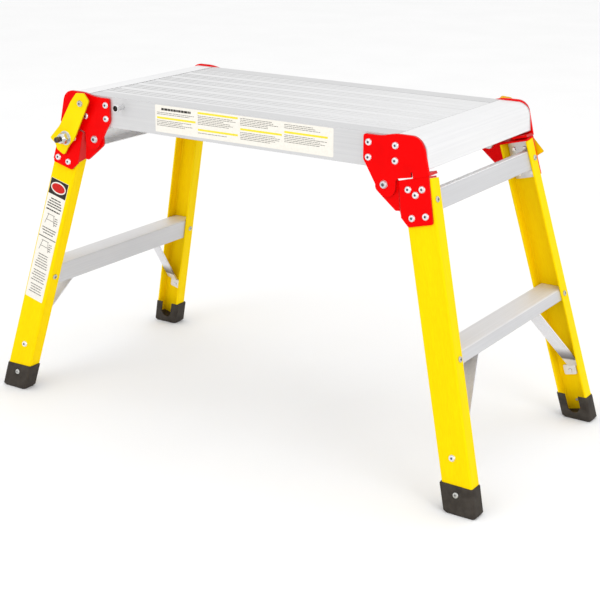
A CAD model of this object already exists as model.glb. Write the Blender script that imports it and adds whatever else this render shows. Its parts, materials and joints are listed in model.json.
import json
import math
import random

import bmesh
import bpy
import numpy as np
from mathutils import Matrix, Vector


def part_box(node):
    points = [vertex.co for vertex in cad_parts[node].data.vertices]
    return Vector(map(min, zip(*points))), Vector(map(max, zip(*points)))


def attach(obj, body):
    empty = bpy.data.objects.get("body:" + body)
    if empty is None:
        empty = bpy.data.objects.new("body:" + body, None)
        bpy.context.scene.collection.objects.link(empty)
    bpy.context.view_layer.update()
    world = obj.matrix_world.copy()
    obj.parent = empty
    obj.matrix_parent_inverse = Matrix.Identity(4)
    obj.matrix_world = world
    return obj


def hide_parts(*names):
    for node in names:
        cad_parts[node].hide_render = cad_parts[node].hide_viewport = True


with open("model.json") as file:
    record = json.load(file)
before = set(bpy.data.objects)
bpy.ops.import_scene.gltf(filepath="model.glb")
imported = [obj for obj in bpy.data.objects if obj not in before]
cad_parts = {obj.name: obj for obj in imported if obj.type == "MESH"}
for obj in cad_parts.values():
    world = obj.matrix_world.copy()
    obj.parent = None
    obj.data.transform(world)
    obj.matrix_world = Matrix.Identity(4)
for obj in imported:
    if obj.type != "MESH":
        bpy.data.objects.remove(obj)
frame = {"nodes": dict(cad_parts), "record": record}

# Folding platform step ladder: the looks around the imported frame. Metres, +X along the deck, -Y the front.

MM = 0.001
NODES = frame["nodes"]
RECORD = frame["record"]
BODY_OF = {node: body for body, members in RECORD["behaviour"]["bodies"].items() for node in members}
SLOT_OF = {row["node"]: row["material_slot"] for row in RECORD["subparts"]}
LEG_TILT = math.radians(14.29)

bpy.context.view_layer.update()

# ---------------------------------------------------------------- camera


CAMERA_PLACE = (1.4159, -2.1016, 1.0529)
CAMERA_LOOK = (-0.5254, 0.7898, -0.3164)
CAMERA_ROLL = math.radians(0.22)
CAMERA_LENS = 83.5
CAMERA_SENSOR = 36.0


def make_camera():
    """A long lens from the front right, a little above the deck."""
    data = bpy.data.cameras.new("camera")
    data.lens = CAMERA_LENS
    data.sensor_width = CAMERA_SENSOR
    camera = bpy.data.objects.new("camera", data)
    bpy.context.scene.collection.objects.link(camera)
    roll = Matrix.Rotation(CAMERA_ROLL, 4, "Z")
    turn = Vector(CAMERA_LOOK).to_track_quat("-Z", "Y").to_matrix().to_4x4()
    camera.matrix_world = Matrix.Translation(CAMERA_PLACE) @ turn @ roll
    bpy.context.scene.camera = camera


make_camera()

# ---------------------------------------------------------------- material helpers


class Surface:
    """A material under construction: its node tree, its shader and short ways to add nodes."""

    def __init__(self, name):
        self.material = bpy.data.materials.new(name)
        self.material.use_nodes = True
        self.tree = self.material.node_tree
        self.shader = self.tree.nodes["Principled BSDF"]

    def add(self, kind, **settings):
        node = self.tree.nodes.new(kind)
        for key, value in settings.items():
            setattr(node, key, value)
        return node

    def join(self, output, socket):
        self.tree.links.new(output, socket)

    def place(self, stretch, turn=(0.0, 0.0, 0.0)):
        """Object coordinates, turned and then stretched."""
        source = self.add("ShaderNodeTexCoord").outputs["Object"]
        turned = self.add("ShaderNodeMapping")
        turned.inputs["Rotation"].default_value = turn
        scaled = self.add("ShaderNodeMapping")
        scaled.inputs["Scale"].default_value = stretch
        self.join(source, turned.inputs["Vector"])
        self.join(turned.outputs["Vector"], scaled.inputs["Vector"])
        return scaled.outputs["Vector"]

    def noise(self, scale, detail=3.0, stretch=(1.0, 1.0, 1.0), turn=(0.0, 0.0, 0.0), rough=0.5):
        texture = self.add("ShaderNodeTexNoise")
        texture.inputs["Scale"].default_value = scale
        texture.inputs["Detail"].default_value = detail
        texture.inputs["Roughness"].default_value = rough
        self.join(self.place(stretch, turn), texture.inputs["Vector"])
        return texture.outputs["Fac"]

    def ramp(self, factor, stops):
        """Colours or greys by position along 0 to 1."""
        node = self.add("ShaderNodeValToRGB")
        ramp = node.color_ramp
        while len(ramp.elements) < len(stops):
            ramp.elements.new(0.5)
        for element, (position, colour) in zip(ramp.elements, stops):
            element.position = position
            element.color = (*colour, 1.0) if hasattr(colour, "__len__") else (colour, colour, colour, 1.0)
        self.join(factor, node.inputs["Fac"])
        return node.outputs["Color"]

    def spread(self, factor, low, high):
        """Maps 0.3 to 0.7 of a noise onto low to high."""
        node = self.add("ShaderNodeMapRange")
        node.inputs["From Min"].default_value = 0.3
        node.inputs["From Max"].default_value = 0.7
        node.inputs["To Min"].default_value = low
        node.inputs["To Max"].default_value = high
        self.join(factor, node.inputs["Value"])
        return node.outputs["Result"]

    def along(self, axis, low, high, stops):
        """Colours or greys by place between two values of one axis."""
        axes = self.add("ShaderNodeSeparateXYZ")
        self.join(self.add("ShaderNodeTexCoord").outputs["Object"], axes.inputs["Vector"])
        reach = self.add("ShaderNodeMapRange")
        reach.inputs["From Min"].default_value = low
        reach.inputs["From Max"].default_value = high
        self.join(axes.outputs[axis], reach.inputs["Value"])
        return self.ramp(reach.outputs["Result"], stops)

    def mix(self, first, second, factor, blend="MIX"):
        node = self.add("ShaderNodeMix", data_type="RGBA", blend_type=blend)
        for socket, value in ((6, first), (7, second), (0, factor)):
            if isinstance(value, bpy.types.NodeSocket):
                self.join(value, node.inputs[socket])
            elif socket == 0:
                node.inputs[socket].default_value = value
            else:
                node.inputs[socket].default_value = (*value, 1.0)
        return node.outputs[2]

    def bump(self, height, strength, depth, after=None):
        node = self.add("ShaderNodeBump")
        node.inputs["Strength"].default_value = strength
        node.inputs["Distance"].default_value = depth
        self.join(height, node.inputs["Height"])
        if after is not None:
            self.join(after, node.inputs["Normal"])
        return node.outputs["Normal"]

    def finish(self, colour=None, roughness=None, normal=None, metallic=0.0, specular_ior_level=0.5):
        """Links what varies and sets what is the same everywhere on the shader's own sockets."""
        sockets = self.shader.inputs
        for name, output in (("Base Color", colour), ("Roughness", roughness), ("Normal", normal)):
            if isinstance(output, bpy.types.NodeSocket):
                self.join(output, sockets[name])
            elif output is not None:
                sockets[name].default_value = output
        sockets["Metallic"].default_value = metallic
        sockets["Specular IOR Level"].default_value = specular_ior_level
        return self.material


LENGTHWISE = (0.03, 4.0, 4.0)
CROSSWISE = (4.0, 0.03, 4.0)
STRAPWISE = (3.0, 3.0, 0.3)


def aluminium(name, light, dark, stretch, roughness=(0.42, 0.56), metallic=0.45):
    """Extruded aluminium: fine die lines along the extrusion, soft cloudiness and a few scratches."""
    surface = Surface(name)
    lines = surface.noise(110.0, 4.0, stretch)
    clouds = surface.noise(5.0, 3.0)
    scratches = surface.noise(260.0, 2.0, tuple(0.6 * value + 0.4 for value in stretch))
    tone = surface.ramp(lines, [(0.30, dark), (0.72, light)])
    veil = surface.ramp(clouds, [(0.32, (0.955, 0.955, 0.96)), (0.66, (1.0, 1.0, 1.0))])
    colour = surface.mix(tone, veil, 1.0, "MULTIPLY")
    normal = surface.bump(lines, 0.12, 0.0002)
    normal = surface.bump(scratches, 0.03, 0.0001, normal)
    return surface.finish(colour, surface.spread(lines, *roughness), normal, metallic=metallic,
                          specular_ior_level=0.3)


def shaded_groove(name, left, middle, right):
    """Dirt and shade in the deck's grooves and joints, heavier towards the left end."""
    surface = Surface(name)
    tone = surface.along("X", -0.38, 0.38, [(0.0, left), (0.45, middle), (1.0, right)])
    grime = surface.ramp(surface.noise(120.0, 3.0, LENGTHWISE), [(0.3, 0.75), (0.7, 1.0)])
    colour = surface.mix(tone, grime, 1.0, "MULTIPLY")
    return surface.finish(colour, 0.6, specular_ior_level=0.1)


def strap_aluminium(name):
    """The braces: bright strip, darker where it bends to meet the leg."""
    surface = Surface(name)
    tone = surface.along("Z", 0.100, 0.180, [
        (0.22, (0.82, 0.82, 0.84)), (0.27, (0.16, 0.16, 0.17)), (0.42, (0.34, 0.34, 0.36)),
        (0.60, (0.80, 0.80, 0.83))])
    lines = surface.noise(110.0, 4.0, STRAPWISE)
    veil = surface.ramp(lines, [(0.30, 0.90), (0.72, 1.0)])
    colour = surface.mix(tone, veil, 1.0, "MULTIPLY")
    normal = surface.bump(lines, 0.12, 0.0002)
    return surface.finish(colour, surface.spread(lines, 0.42, 0.56), normal, metallic=0.3,
                          specular_ior_level=0.3)


def powder_coat(name, colour, deep, gloss=0.12):
    """A sprayed coat over steel: slight orange peel, a soft gloss and faint tone changes."""
    surface = Surface(name)
    peel = surface.noise(420.0, 2.0)
    clouds = surface.noise(22.0, 4.0)
    tone = surface.ramp(clouds, [(0.32, deep), (0.62, colour)])
    normal = surface.bump(peel, 0.20, 0.0002)
    return surface.finish(tone, surface.spread(clouds, 0.40, 0.28), normal, specular_ior_level=gloss)


def fibreglass(name, lean):
    """Pultruded resin: fibre streaks along the leg and a satin skin."""
    surface = Surface(name)
    turn = (0.0, lean, 0.0)
    fibres = surface.noise(90.0, 5.0, (6.0, 6.0, 0.10), turn, 0.62)
    broad = surface.noise(14.0, 3.0, (3.0, 3.0, 0.25), turn)
    tone = surface.ramp(fibres, [(0.30, (0.93, 0.63, 0.0004)), (0.70, (0.97, 0.71, 0.0008))])
    veil = surface.ramp(broad, [(0.32, (0.975, 0.955, 0.95)), (0.62, (1.0, 1.0, 1.0))])
    colour = surface.mix(tone, veil, 1.0, "MULTIPLY")
    normal = surface.bump(fibres, 0.18, 0.00025)
    return surface.finish(colour, surface.spread(fibres, 0.34, 0.50), normal, specular_ior_level=0.03)


def rubber(name):
    """Moulded rubber: fine grain, dusty high spots."""
    surface = Surface(name)
    grain = surface.noise(900.0, 2.0)
    scuffs = surface.noise(60.0, 5.0, (1.0, 1.0, 1.0), rough=0.65)
    colour = surface.ramp(scuffs, [(0.35, (0.034, 0.028, 0.023)), (0.66, (0.058, 0.050, 0.042))])
    normal = surface.bump(grain, 0.35, 0.0002)
    return surface.finish(colour, surface.spread(scuffs, 0.55, 0.74), normal, specular_ior_level=0.12)


def plain_metal(name, colour, deep, roughness, scale=160.0, metallic=0.9):
    """Plated or bright metal with light handling marks."""
    surface = Surface(name)
    marks = surface.noise(scale, 4.0, rough=0.6)
    tone = surface.ramp(marks, [(0.30, deep), (0.66, colour)])
    normal = surface.bump(marks, 0.12, 0.0001)
    return surface.finish(tone, surface.spread(marks, *roughness), normal, metallic=metallic)


def printed(name, colour, deep, roughness=(0.40, 0.52)):
    """Vinyl or ink: a faint mottle under a satin film."""
    surface = Surface(name)
    mottle = surface.noise(300.0, 3.0)
    tone = surface.ramp(mottle, [(0.30, deep), (0.68, colour)])
    normal = surface.bump(mottle, 0.08, 0.0001)
    return surface.finish(tone, surface.spread(mottle, *roughness), normal, specular_ior_level=0.12)


MATERIALS = {
    "deck_aluminium": aluminium("deck_aluminium", (0.80, 0.80, 0.80), (0.72, 0.72, 0.725), LENGTHWISE),
    "deck_crosswise": aluminium("deck_crosswise", (0.86, 0.86, 0.86), (0.80, 0.80, 0.805), CROSSWISE),
    "rail_aluminium": aluminium("rail_aluminium", (0.67, 0.67, 0.67), (0.60, 0.60, 0.605), LENGTHWISE),
    "frame_aluminium": aluminium("frame_aluminium", (0.64, 0.64, 0.65), (0.58, 0.58, 0.59), CROSSWISE),
    "tread_aluminium": aluminium("tread_aluminium", (0.80, 0.80, 0.81), (0.73, 0.73, 0.74), CROSSWISE,
                                 metallic=0.2),
    "inner_aluminium": aluminium("inner_aluminium", (0.95, 0.95, 0.95), (0.88, 0.88, 0.88), CROSSWISE,
                                 metallic=0.0),
    "brace_aluminium": strap_aluminium("brace_aluminium"),
    "joint_shade": shaded_groove("joint_shade", 0.03, 0.22, 0.70),
    "groove_shade": shaded_groove("groove_shade", 0.30, 0.52, 0.80),
    "cut_edge": aluminium("cut_edge", (0.30, 0.30, 0.31), (0.20, 0.20, 0.21), (1.0, 1.0, 1.0)),
    "red_steel": powder_coat("red_steel", (0.86, 0.0006, 0.0012), (0.78, 0.0004, 0.0009), 0.04),
    "red_edge": powder_coat("red_edge", (0.60, 0.006, 0.006), (0.46, 0.004, 0.004), 0.30),
    "fibreglass_right": fibreglass("fibreglass_right", LEG_TILT),
    "fibreglass_left": fibreglass("fibreglass_left", -LEG_TILT),
    "lever_yellow": powder_coat("lever_yellow", (0.96, 0.70, 0.001), (0.92, 0.63, 0.0008), 0.05),
    "lever_edge": powder_coat("lever_edge", (0.70, 0.44, 0.002), (0.55, 0.33, 0.001)),
    "boot_rubber": rubber("boot_rubber"),
    "rivet_aluminium": plain_metal("rivet_aluminium", (0.88, 0.88, 0.89), (0.62, 0.62, 0.64), (0.24, 0.42)),
    "fastener_steel": plain_metal("fastener_steel", (0.60, 0.60, 0.58), (0.36, 0.37, 0.35), (0.28, 0.45)),
    "plated_steel": plain_metal("plated_steel", (0.70, 0.70, 0.71), (0.52, 0.52, 0.54), (0.35, 0.55), 60.0),
    "bright_steel": plain_metal("bright_steel", (0.80, 0.81, 0.82), (0.42, 0.44, 0.46), (0.18, 0.34), 90.0),
    "pin_steel": plain_metal("pin_steel", (0.16, 0.13, 0.12), (0.06, 0.05, 0.045), (0.35, 0.55)),
    "shaft_steel": plain_metal("shaft_steel", (0.80, 0.80, 0.80), (0.62, 0.62, 0.63), (0.22, 0.36)),
    "spring_steel": plain_metal("spring_steel", (0.45, 0.45, 0.47), (0.25, 0.25, 0.27), (0.25, 0.40)),
    "mandrel_steel": plain_metal("mandrel_steel", (0.22, 0.22, 0.24), (0.10, 0.10, 0.11), (0.45, 0.6)),
    "label_print": printed("label_print", (0.86, 0.83, 0.76), (0.80, 0.77, 0.70)),
    "ink_grey": printed("ink_grey", (0.20, 0.19, 0.17), (0.12, 0.11, 0.10)),
    "ink_black": printed("ink_black", (0.045, 0.038, 0.032), (0.018, 0.016, 0.014)),
    "ink_yellow": printed("ink_yellow", (0.86, 0.76, 0.05), (0.78, 0.66, 0.03)),
    "ink_red": printed("ink_red", (0.62, 0.02, 0.015), (0.48, 0.012, 0.01)),
}

# Pieces whose material isn't simply that of their slot.
SPECIAL = {
    "end_rail": "deck_crosswise", "deck_rib": "deck_crosswise", "side_rail": "rail_aluminium",
    "brace": "brace_aluminium", "parking_pins": "shaft_steel", "hinge_bolts": "plated_steel",
}


def material_for(node):
    """The material of a CAD node, from its slot and, for some, its place on the object."""
    if SLOT_OF[node] == "fibreglass":
        return MATERIALS["fibreglass_right" if "right" in node else "fibreglass_left"]
    for start, material in SPECIAL.items():
        if node.startswith(start):
            return MATERIALS[material]
    return MATERIALS[SLOT_OF[node]]


for node, item in NODES.items():
    for place in item.material_slots:
        place.material = material_for(node)

# ---------------------------------------------------------------- piece helpers


def new_piece(name, mesh, body, materials):
    """An object for a mesh that rides a body and fills a material slot."""
    piece = bpy.data.objects.new(name, mesh)
    bpy.context.scene.collection.objects.link(piece)
    for material in materials:
        mesh.materials.append(material)
    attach(piece, body)
    return piece


def smooth_by_angle(mesh, angle):
    """Smooth shading with the edges over an angle kept crisp."""
    mesh.shade_smooth()
    mesh.set_sharp_from_angle(angle=math.radians(angle))


def clean_copy(node, name):
    """A node's mesh with its doubled points joined and its flat faces whole."""
    mesh = NODES[node].data.copy()
    mesh.name = name
    mesh.materials.clear()
    shape = bmesh.new()
    shape.from_mesh(mesh)
    bmesh.ops.remove_doubles(shape, verts=shape.verts, dist=1e-6)
    bmesh.ops.dissolve_limit(shape, angle_limit=math.radians(0.5), verts=shape.verts, edges=shape.edges)
    shape.to_mesh(mesh)
    shape.free()
    return mesh


def add_bevel(piece, width, material):
    """Eases the sharp edges; material is a place among the piece's materials, or -1 to keep theirs."""
    bevel = piece.modifiers.new("eased", "BEVEL")
    bevel.width = width
    bevel.segments = 2
    bevel.limit_method = "ANGLE"
    bevel.angle_limit = math.radians(34.0)
    bevel.use_clamp_overlap = True
    bevel.material = material


def is_cut_edge(face):
    """Whether a face is a sheet's own thickness or a bend: a narrow strip, not on the front or back."""
    return abs(face.normal.y) < 0.8 and 2 * face.area / face.rim < 4.0 * MM


def faces_up(face):
    """Whether a face is the top of a step or of a cross member."""
    return face.normal.z > 0.7


def faces_planks(face):
    """Whether a face of an end rail is the one on the joint with the planks."""
    return abs(face.normal.x) > 0.9 and abs(abs(face.centre.x) - PLANK_JOINT) < 3.0 * MM


def faces_inward(face):
    """Whether a face looks towards the middle of the deck, along X."""
    return face.normal.x * math.copysign(1.0, face.centre.x) < -0.3


class Face:
    """What the tests above look at: a face's normal, centre, area and the length round it."""

    def __init__(self, mesh, polygon):
        corners = [mesh.vertices[index].co for index in polygon.vertices]
        self.normal = polygon.normal
        self.centre = polygon.center
        self.area = polygon.area
        self.rim = sum((corners[index] - corners[index - 1]).length for index in range(len(corners)))


def rounded_copy(node, width, edge=None, accents=(), set_back=0.0):
    """A CAD node's own shape with its hard edges eased, standing for the node.

    The edges may take a material of their own, and so may the faces that pass a test. A set-back moves
    the face on the plank joint outward.
    """
    mesh = clean_copy(node, node + "_eased")
    for vertex in mesh.vertices:
        if set_back and abs(abs(vertex.co.x) - PLANK_JOINT) < 0.3 * MM:
            vertex.co.x += math.copysign(set_back, vertex.co.x)
    materials = [material_for(node)]
    for test, material in accents:
        materials.append(MATERIALS[material])
        for polygon in mesh.polygons:
            if polygon.material_index == 0 and test(Face(mesh, polygon)):
                polygon.material_index = len(materials) - 1
    if edge:
        materials.append(MATERIALS[edge])
    piece = new_piece(node + "_eased", mesh, BODY_OF[node], materials)
    add_bevel(piece, width, len(materials) - 1 if edge else -1)
    smooth_by_angle(mesh, 40.0)
    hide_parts(node)


PLANK_JOINT = abs(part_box("end_rail_right")[0].x)

# Start of the node's name: how its edges are eased and which of its faces have their own material.
EASED = {
    "hinge_plate": {"width": 1.1 * MM, "edge": "red_edge", "accents": ((is_cut_edge, "red_edge"),)},
    "lower_bracket": {"width": 0.9 * MM, "edge": "red_edge", "accents": ((is_cut_edge, "red_edge"),)},
    "lock_lever": {"width": 0.9 * MM, "edge": "lever_edge", "accents": ((is_cut_edge, "lever_edge"),)},
    "boot": {"width": 0.9 * MM},
    "step": {"width": 0.5 * MM, "accents": ((faces_up, "tread_aluminium"),)},
    "cross_member": {"width": 0.4 * MM,
                     "accents": ((faces_up, "inner_aluminium"), (faces_inward, "inner_aluminium"))},
    "brace": {"width": 1.3 * MM, "edge": "cut_edge"},
    "backing_plate": {"width": 0.4 * MM},
    "side_rail": {"width": 0.9 * MM, "edge": "cut_edge"},
    "end_rail_left": {"width": 0.5 * MM, "set_back": 1.8 * MM,
                      "accents": ((faces_planks, "joint_shade"), (faces_inward, "inner_aluminium"))},
    "end_rail_right": {"width": 0.5 * MM, "set_back": 0.2 * MM,
                       "accents": ((faces_planks, "joint_shade"), (faces_inward, "inner_aluminium"))},
}
for node in sorted(NODES):
    for start, settings in EASED.items():
        if node.startswith(start):
            rounded_copy(node, **settings)

# ---------------------------------------------------------------- planks


def extruded(name, outline, x_low, x_high):
    """A solid whose outline (y, z) runs along X."""
    mesh = bpy.data.meshes.new(name)
    count = len(outline)
    points = [(x, y, z) for x in (x_low, x_high) for y, z in outline]
    following = [(index + 1) % count for index in range(count)]
    sides = [(index, after, count + after, count + index) for index, after in enumerate(following)]
    ends = [tuple(reversed(range(count))), tuple(range(count, 2 * count))]
    mesh.from_pydata(points, [], sides + ends)
    shape = bmesh.new()
    shape.from_mesh(mesh)
    bmesh.ops.recalc_face_normals(shape, faces=shape.faces)
    shape.to_mesh(mesh)
    shape.free()
    return mesh


def arc(centre_y, centre_z, radius, start, end, steps=5):
    """Points on an arc; the angles are in degrees from +Y towards +Z."""
    angles = [math.radians(start + (end - start) * step / steps) for step in range(steps + 1)]
    return [(centre_y + radius * math.cos(angle), centre_z + radius * math.sin(angle)) for angle in angles]


def make_plank(node):
    """A ribbed plank with rounded edges and three shallow grooves in its tread surface."""
    low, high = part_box(node)
    middle, half = (low.y + high.y) / 2, (high.y - low.y) / 2 - 0.3 * MM
    edge, skin, rib = 1.6 * MM, 2.5 * MM, 1.0 * MM
    top = arc(half - edge, high.z - edge, edge, 0, 90)
    width, depth = 1.5 * MM, 0.9 * MM
    for groove in (12.0 * MM, 0.0, -12.0 * MM):
        top += [(groove + width, high.z), (groove + 0.3 * width, high.z - depth),
                (groove - 0.3 * width, high.z - depth), (groove - width, high.z)]
    top += arc(-half + edge, high.z - edge, edge, 90, 180)
    under = [(-half, high.z - skin)]
    for centre in (-14.0 * MM, 14.0 * MM):
        under += [(centre - rib, high.z - skin), (centre - rib, low.z), (centre + rib, low.z),
                  (centre + rib, high.z - skin)]
    under.append((half, high.z - skin))
    outline = [(middle + y, z) for y, z in top + under]
    mesh = extruded(node + "_grooved", outline, low.x, high.x)
    for polygon in mesh.polygons:  # shade in the grooves, and a deeper one on the sides, ends and ribs
        in_groove = high.z - 1.2 * depth < polygon.center.z < high.z - 0.3 * depth
        if in_groove and abs(polygon.center.y - middle) < 0.6 * half:
            polygon.material_index = 1
        elif polygon.normal.z < 0.5:
            polygon.material_index = 2
    materials = [material_for(node), MATERIALS["groove_shade"], MATERIALS["joint_shade"]]
    piece = new_piece(mesh.name, mesh, BODY_OF[node], materials)
    smooth_by_angle(mesh, 35.0)
    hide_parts(node)


for node in sorted(NODES):
    if node.startswith("deck_plank"):
        make_plank(node)

# ---------------------------------------------------------------- fasteners


def turned_axis(points, normals, areas):
    """The axis of a turned part, from how its faces point, aimed at its head."""
    spread = np.einsum("i,ij,ik->jk", areas, normals, normals)
    values, vectors = np.linalg.eigh(spread)
    odd = 0 if values[1] - values[0] > values[2] - values[1] else 2
    axis = vectors[:, odd]
    middle = points.mean(0)
    along = (points - middle) @ axis
    radii = np.linalg.norm(points - middle - np.outer(along, axis), axis=1)
    near_end = 3.0 * MM
    high = radii[along > along.max() - near_end].max()
    low = radii[along < along.min() + near_end].max()
    return axis if high > low else -axis


def loose_parts(shape):
    """Lists of the faces of each separate part of a bmesh."""
    left, parts = set(shape.faces), []
    for seed in shape.faces:
        if seed not in left:
            continue
        left.discard(seed)
        part, stack = [], [seed]
        while stack:
            face = stack.pop()
            part.append(face)
            for edge in face.edges:
                for other in edge.link_faces:
                    if other in left:
                        left.discard(other)
                        stack.append(other)
        parts.append(part)
    return parts


def dark_centres(node, radius, depth, material="mandrel_steel", outward=False):
    """Turned fasteners whose recess in the head, within a radius and deeper than the top, is dark.

    Where both ends have a head, outward picks the one away from the middle of the deck.
    """
    mesh = clean_copy(node, node + "_finished")
    shape = bmesh.new()
    shape.from_mesh(mesh)
    for part in loose_parts(shape):
        points = np.array([vertex.co for face in part for vertex in face.verts])
        normals = np.array([face.normal for face in part])
        areas = np.array([face.calc_area() for face in part])
        axis = turned_axis(points, normals, areas)
        if outward and axis[1] * points[:, 1].mean() < 0:
            axis = -axis
        top = (points @ axis).max()
        rim = points[points @ axis > top - 3.0 * MM]
        centre = (rim.max(0) + rim.min(0)) / 2
        for face in part:
            corners = np.array([vertex.co for vertex in face.verts])
            offsets = corners - centre
            radii = np.linalg.norm(offsets - np.outer(offsets @ axis, axis), axis=1)
            heights = corners @ axis
            if radii.max() < radius and heights.min() > top - depth and heights.min() < top - 0.2 * MM:
                face.material_index = 1
    shape.to_mesh(mesh)
    shape.free()
    materials = [material_for(node), MATERIALS[material]]
    piece = new_piece(mesh.name, mesh, BODY_OF[node], materials)
    smooth_by_angle(mesh, 35.0)
    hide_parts(node)


for node, radius, depth in (
        ("deck_rivets", 2.5 * MM, 1.8 * MM), ("rivets_left", 2.5 * MM, 1.8 * MM),
        ("rivets_right", 2.5 * MM, 1.8 * MM), ("screws_left", 3.0 * MM, 1.6 * MM),
        ("screws_right", 3.0 * MM, 1.6 * MM), ("lever_pivots", 2.2 * MM, 1.6 * MM),
        ("hinge_bolts", 3.2 * MM, 1.9 * MM)):
    dark_centres(node, radius, depth)
dark_centres("parking_pins", 5.5 * MM, 4.0 * MM, "ink_black", outward=True)

# ---------------------------------------------------------------- printing on the labels


class Print:
    """Thin printed shapes on one label: origin at its top left, first axis right, second down."""

    def __init__(self, node, origin, right, down):
        self.node = node
        self.origin = origin
        self.right = right
        self.down = down
        self.out = right.cross(down) * -1.0
        self.shapes = {}

    def outline(self, ink, points, lift=0.12 * MM):
        """A flat printed shape with a film's thickness."""
        shape = self.shapes.setdefault(ink, bmesh.new())
        film = 0.08 * MM
        under, over = [], []
        for across, below in points:
            base = self.origin + self.right * across + self.down * below
            under.append(shape.verts.new(base - self.out * film))
            over.append(shape.verts.new(base + self.out * lift))
        shape.faces.new(over)
        shape.faces.new(list(reversed(under)))
        for index in range(len(points)):
            following = (index + 1) % len(points)
            shape.faces.new((under[index], under[following], over[following], over[index]))

    def bar(self, ink, across, below, width, height, lift=0.12 * MM):
        self.outline(ink, [(across, below), (across + width, below), (across + width, below + height),
                           (across, below + height)], lift)

    def oval(self, ink, across, below, half_width, half_height, lift=0.12 * MM):
        turns = [2 * math.pi * step / 24 for step in range(24)]
        self.outline(ink, [(across + half_width * math.cos(turn), below + half_height * math.sin(turn))
                           for turn in turns], lift)

    def dashes(self, ink, across, below, width, height, chance, centred=False, ragged=0.0):
        """One line of dashes of uneven lengths, which stand for print without spelling anything."""
        length = width * (1.0 - ragged * chance.random())
        position = across + (width - length) / 2 if centred else across
        end = position + length
        while position < end - 1.0 * MM:
            dash = min(chance.uniform(2.5, 8.0) * MM, end - position)
            self.bar(ink, position, below, dash, height)
            position += dash + 0.9 * MM

    def lines(self, ink, across, below, width, count, pitch, height, chance, centred=False):
        for index in range(count):
            self.dashes(ink, across, below + index * pitch, width, height, chance, centred, 0.35)

    def hand_over(self):
        """Makes one piece for each ink."""
        for ink, shape in self.shapes.items():
            name = f"{self.node}_{ink}"
            mesh = bpy.data.meshes.new(name)
            bmesh.ops.recalc_face_normals(shape, faces=shape.faces)
            shape.to_mesh(mesh)
            shape.free()
            new_piece(name, mesh, BODY_OF[self.node], [MATERIALS[ink]])


def print_rail_label():
    low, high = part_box("rail_label")
    sheet = Print("rail_label", Vector((low.x, low.y, high.z)), Vector((1, 0, 0)), Vector((0, 0, -1)))
    chance = random.Random(11)
    wide, tall = high.x - low.x, high.z - low.z
    margin = 4.0 * MM
    column = (wide - 10.0 * MM) / 4
    line, pitch, bar = 0.9 * MM, 2.9 * MM, 3.4 * MM
    # For each column: (kind, how far down as a share of the height, number of lines).
    columns = [
        [("title", 0.10, 1), ("lines", 0.26, 2), ("bar", 0.43, 1), ("lines", 0.56, 4)],
        [("bar", 0.07, 1), ("lines", 0.20, 6), ("bar", 0.68, 1), ("lines", 0.82, 1)],
        [("lines", 0.08, 5), ("bar", 0.44, 1), ("lines", 0.58, 5)],
        [("lines", 0.08, 3), ("bar", 0.32, 1), ("lines", 0.45, 5)]]
    for index, blocks in enumerate(columns):
        left = margin + index * column
        width = column - 5.0 * MM
        for kind, share, count in blocks:
            below = share * tall
            if kind == "title":
                sheet.dashes("ink_black", left + 0.12 * width, below, 0.76 * width, 4.0 * MM, chance)
            elif kind == "bar":
                sheet.bar("ink_yellow", left, below, width, bar)
            else:
                sheet.lines("ink_grey", left, below, width, count, pitch, line, chance)
    sheet.hand_over()


def face_frame(node):
    """Top left corner, right and down of a flat label, from the widest of its outer faces."""
    mesh = NODES[node].data
    points = np.array([vertex.co for vertex in mesh.vertices])
    face = max(mesh.polygons, key=lambda polygon: -polygon.normal.y * polygon.area)
    normal = np.array(face.normal)
    middle = points.mean(0)
    spread = np.cov((points - middle).T)
    long_way = np.linalg.eigh(spread)[1][:, 2]
    down = -long_way if long_way[2] > 0 else long_way
    right = np.cross(normal, down)
    along_right, along_down = (points - middle) @ right, (points - middle) @ down
    outer = ((points - middle) @ normal).max()
    corner = middle + right * along_right.min() + down * along_down.min() + normal * outer
    size = (along_right.max() - along_right.min(), along_down.max() - along_down.min())
    return Vector(corner), Vector(right), Vector(down), size


def figure(sheet, left, top, scale):
    """A generic picture of a ladder: a deck, two leaning legs and a step."""
    stroke = 1.0 * MM
    foot = top + 16 * scale
    sheet.bar("ink_grey", left, top, 14 * scale, stroke)
    for head_across, foot_across in ((2, -2), (12, 16)):
        head_x, foot_x = left + head_across * scale, left + foot_across * scale
        leg = [(head_x, top), (head_x + stroke, top), (foot_x + stroke, foot), (foot_x, foot)]
        sheet.outline("ink_grey", leg)
    sheet.bar("ink_grey", left, top + 9 * scale, 14 * scale, stroke)


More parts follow.
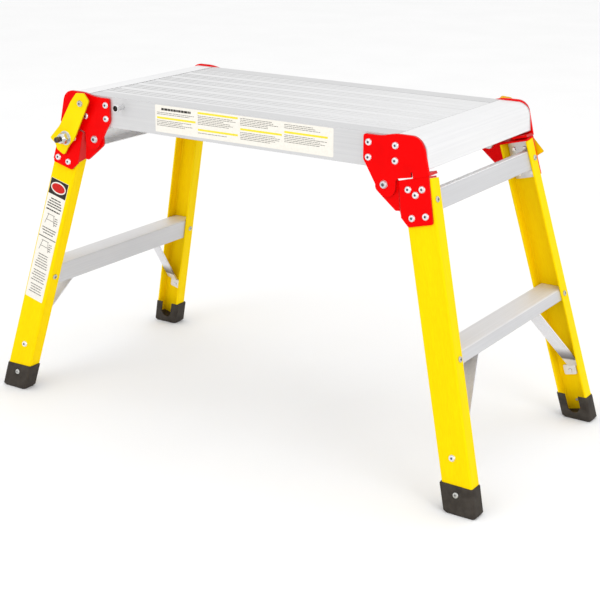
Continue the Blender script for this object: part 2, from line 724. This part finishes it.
def print_leg_label():
    corner, right, down, (wide, tall) = face_frame("leg_label")
    sheet = Print("leg_label", corner, right, down)
    chance = random.Random(23)
    header = 0.125 * tall
    sheet.bar("ink_black", 0.5 * MM, 0.5 * MM, wide - 1.0 * MM, header)
    oval = (wide / 2, 0.5 * header)
    sheet.oval("label_print", *oval, 0.42 * wide, 0.36 * header, 0.2 * MM)
    sheet.oval("ink_red", *oval, 0.37 * wide, 0.28 * header, 0.3 * MM)
    left, width = 4.0 * MM, wide - 8.0 * MM
    line, pitch = 1.7 * MM, 5.2 * MM
    sheet.lines("ink_black", left, 0.155 * tall, width, 4, pitch, 2.2 * MM, chance, centred=True)
    sheet.dashes("ink_black", left, 0.245 * tall, width, 2.6 * MM, chance, centred=True)
    figure(sheet, left + 6 * MM, 0.285 * tall, 1.3 * MM)
    sheet.lines("ink_grey", left + 26 * MM, 0.30 * tall, 10 * MM, 4, 4.2 * MM, line, chance)
    sheet.lines("ink_black", left, 0.40 * tall, width, 3, pitch, line, chance, centred=True)
    sheet.bar("ink_black", 0.5 * MM, 0.475 * tall, wide - 1.0 * MM, 1.6 * MM)
    figure(sheet, left + 6 * MM, 0.505 * tall, 1.3 * MM)
    sheet.lines("ink_grey", left + 26 * MM, 0.52 * tall, 10 * MM, 4, 4.2 * MM, line, chance)
    for share, count in ((0.62, 6), (0.76, 5), (0.88, 4)):
        sheet.lines("ink_grey", left, share * tall, width, count, pitch, line, chance, centred=True)
    sheet.hand_over()


print_rail_label()
print_leg_label()

# ---------------------------------------------------------------- floor, light


def make_floor():
    mesh = bpy.data.meshes.new("floor")
    half = 20.0
    corners = [(-half, -half, 0), (half, -half, 0), (half, half, 0), (-half, half, 0)]
    mesh.from_pydata(corners, [], [(0, 1, 2, 3)])
    surface = Surface("floor")
    tone = surface.ramp(surface.noise(3.0, 2.0), [(0.3, 0.94), (0.7, 0.96)])
    mesh.materials.append(surface.finish(tone, specular_ior_level=0.05, roughness=0.9))
    floor = bpy.data.objects.new("floor", mesh)
    bpy.context.scene.collection.objects.link(floor)


def area_light(name, place, target, size, power):
    data = bpy.data.lights.new(name, "AREA")
    data.shape = "RECTANGLE"
    data.size, data.size_y = size
    data.energy = power
    light = bpy.data.objects.new(name, data)
    bpy.context.scene.collection.objects.link(light)
    aim = Vector(target) - Vector(place)
    light.matrix_world = Matrix.Translation(place) @ aim.to_track_quat("-Z", "Y").to_matrix().to_4x4()


def make_studio():
    world = bpy.data.worlds.new("studio")
    bpy.context.scene.world = world
    world.use_nodes = True
    world.node_tree.nodes["Background"].inputs["Color"].default_value = (1.0, 1.0, 1.0, 1.0)
    world.node_tree.nodes["Background"].inputs["Strength"].default_value = 1.0
    area_light("key", (-1.0, -3.4, 2.4), (0, 0, 0.35), (2.4, 2.0), 22.0)
    area_light("side", (3.4, -1.2, 1.8), (0, 0, 0.35), (1.8, 1.8), 26.0)
    area_light("top", (0.3, 0.4, 3.4), (0, 0, 0.4), (2.6, 2.6), 8.0)
    bpy.context.scene.view_settings.view_transform = "Standard"


make_floor()
make_studio()
